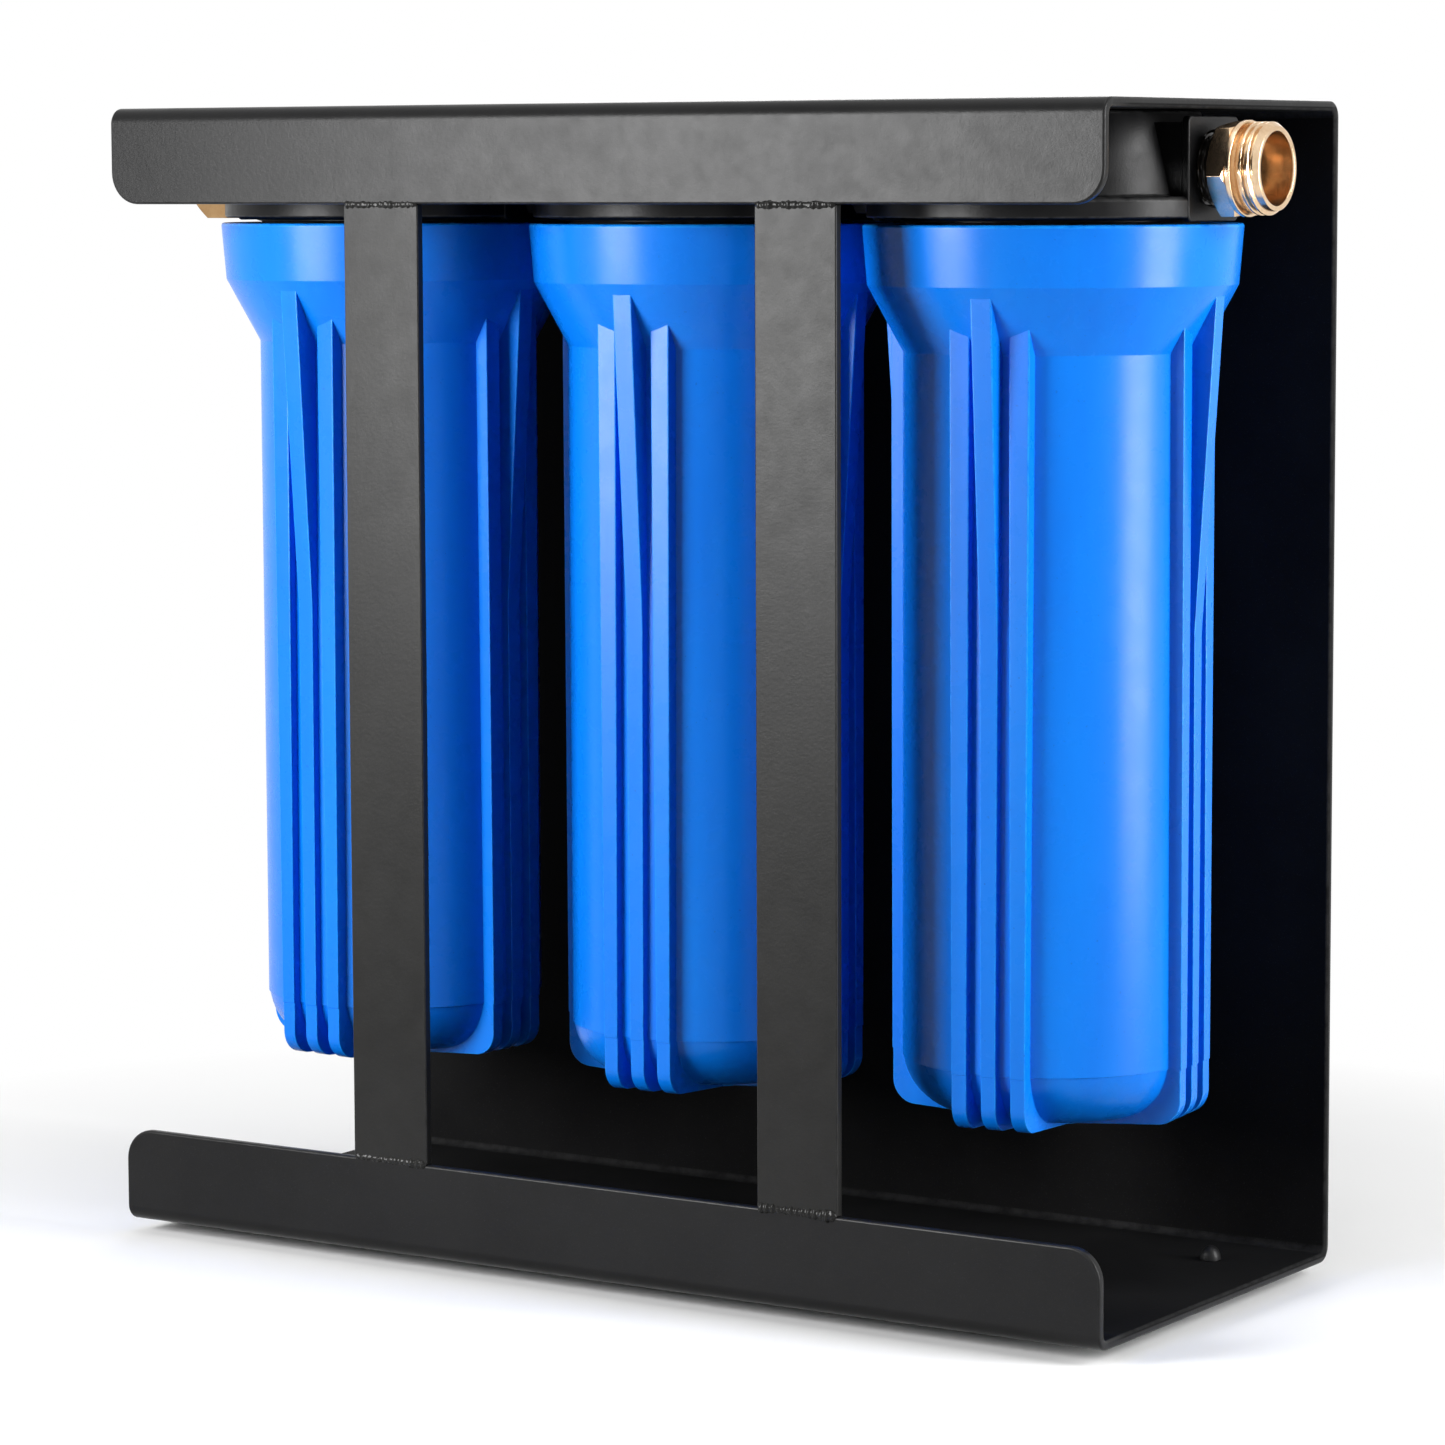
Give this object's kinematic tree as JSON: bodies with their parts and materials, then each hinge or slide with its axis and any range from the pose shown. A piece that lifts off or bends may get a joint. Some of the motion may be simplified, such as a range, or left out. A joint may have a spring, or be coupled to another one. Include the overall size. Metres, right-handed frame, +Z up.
{
  "type": "rv water filter system",
  "caption": "Freestanding inline water filter for a travel trailer: ribbed screw-on sumps under black caps in a bent-sheet stand, with a brass hose fitting at each end.",
  "frame": {"origin": "on the ground under the middle of the stand", "axes": "+X towards the outlet, -Y towards the front with the two bars, +Z up"},
  "size_m": [0.389, 0.148, 0.3603],
  "materials": {
    "stand_coat": "satin black powder coat",
    "foot_rubber": "black moulded rubber",
    "cap_plastic": "fine-textured black plastic",
    "sump_plastic": "satin blue moulded plastic",
    "seal_rubber": "greased black rubber",
    "cartridge_fibre": "spun white fibre",
    "cartridge_carbon": "pressed carbon block",
    "gasket_rubber": "soft white rubber",
    "outlet_brass": "turned and polished brass",
    "inlet_brass": "dull brass",
    "washer_rubber": "red-brown rubber",
    "screw_steel": "black zinc-plated steel"
  },
  "bodies": {
    "stand": {"stand": "stand_coat", "bar_left": "stand_coat", "bar_right": "stand_coat", "foot_front_left": "foot_rubber", "foot_front_right": "foot_rubber", "foot_back_left": "foot_rubber", "foot_back_right": "foot_rubber", "cap_left": "cap_plastic", "cap_middle": "cap_plastic", "cap_right": "cap_plastic", "nipple_left": "cap_plastic", "nipple_right": "cap_plastic", "outlet_fitting": "outlet_brass", "inlet_fitting": "inlet_brass", "inlet_washer": "washer_rubber", "screw_left_1": "screw_steel", "screw_left_2": "screw_steel", "screw_left_3": "screw_steel", "screw_left_4": "screw_steel", "screw_middle_1": "screw_steel", "screw_middle_2": "screw_steel", "screw_middle_3": "screw_steel", "screw_middle_4": "screw_steel", "screw_right_1": "screw_steel", "screw_right_2": "screw_steel", "screw_right_3": "screw_steel", "screw_right_4": "screw_steel"},
    "insert_left": {"cartridge_left": "cartridge_fibre", "gasket_low_left": "gasket_rubber", "gasket_high_left": "gasket_rubber"},
    "insert_middle": {"cartridge_middle": "cartridge_carbon", "gasket_low_middle": "gasket_rubber", "gasket_high_middle": "gasket_rubber"},
    "insert_right": {"cartridge_right": "cartridge_carbon", "gasket_low_right": "gasket_rubber", "gasket_high_right": "gasket_rubber"},
    "sump_left": {"sump_left": "sump_plastic", "seal_left": "seal_rubber"},
    "sump_middle": {"sump_middle": "sump_plastic", "seal_middle": "seal_rubber"},
    "sump_right": {"sump_right": "sump_plastic", "seal_right": "seal_rubber"}
  },
  "joints": [
    {"name": "drop_left", "type": "slide", "parent": "stand", "child": "insert_left", "axis": [0, 0, -1], "range_m": [0, 0.0169]},
    {"name": "turn_left", "type": "hinge", "parent": "insert_left", "child": "sump_left", "pos_m": [-0.1205, 0, 0.19], "axis": [0, 0, -1], "range_deg": [0, 1080]},
    {"name": "drop_middle", "type": "slide", "parent": "stand", "child": "insert_middle", "axis": [0, 0, -1], "range_m": [0, 0.0169]},
    {"name": "turn_middle", "type": "hinge", "parent": "insert_middle", "child": "sump_middle", "pos_m": [0, 0, 0.19], "axis": [0, 0, -1], "range_deg": [0, 1080]},
    {"name": "drop_right", "type": "slide", "parent": "stand", "child": "insert_right", "axis": [0, 0, -1], "range_m": [0, 0.0169]},
    {"name": "turn_right", "type": "hinge", "parent": "insert_right", "child": "sump_right", "pos_m": [0.1205, 0, 0.19], "axis": [0, 0, -1], "range_deg": [0, 1080]}
  ],
  "couplings": [
    {"joint": "drop_left", "follows": "turn_left", "m_per_rad": 0.00089127},
    {"joint": "drop_middle", "follows": "turn_middle", "m_per_rad": 0.00089127},
    {"joint": "drop_right", "follows": "turn_right", "m_per_rad": 0.00089127}
  ]
}
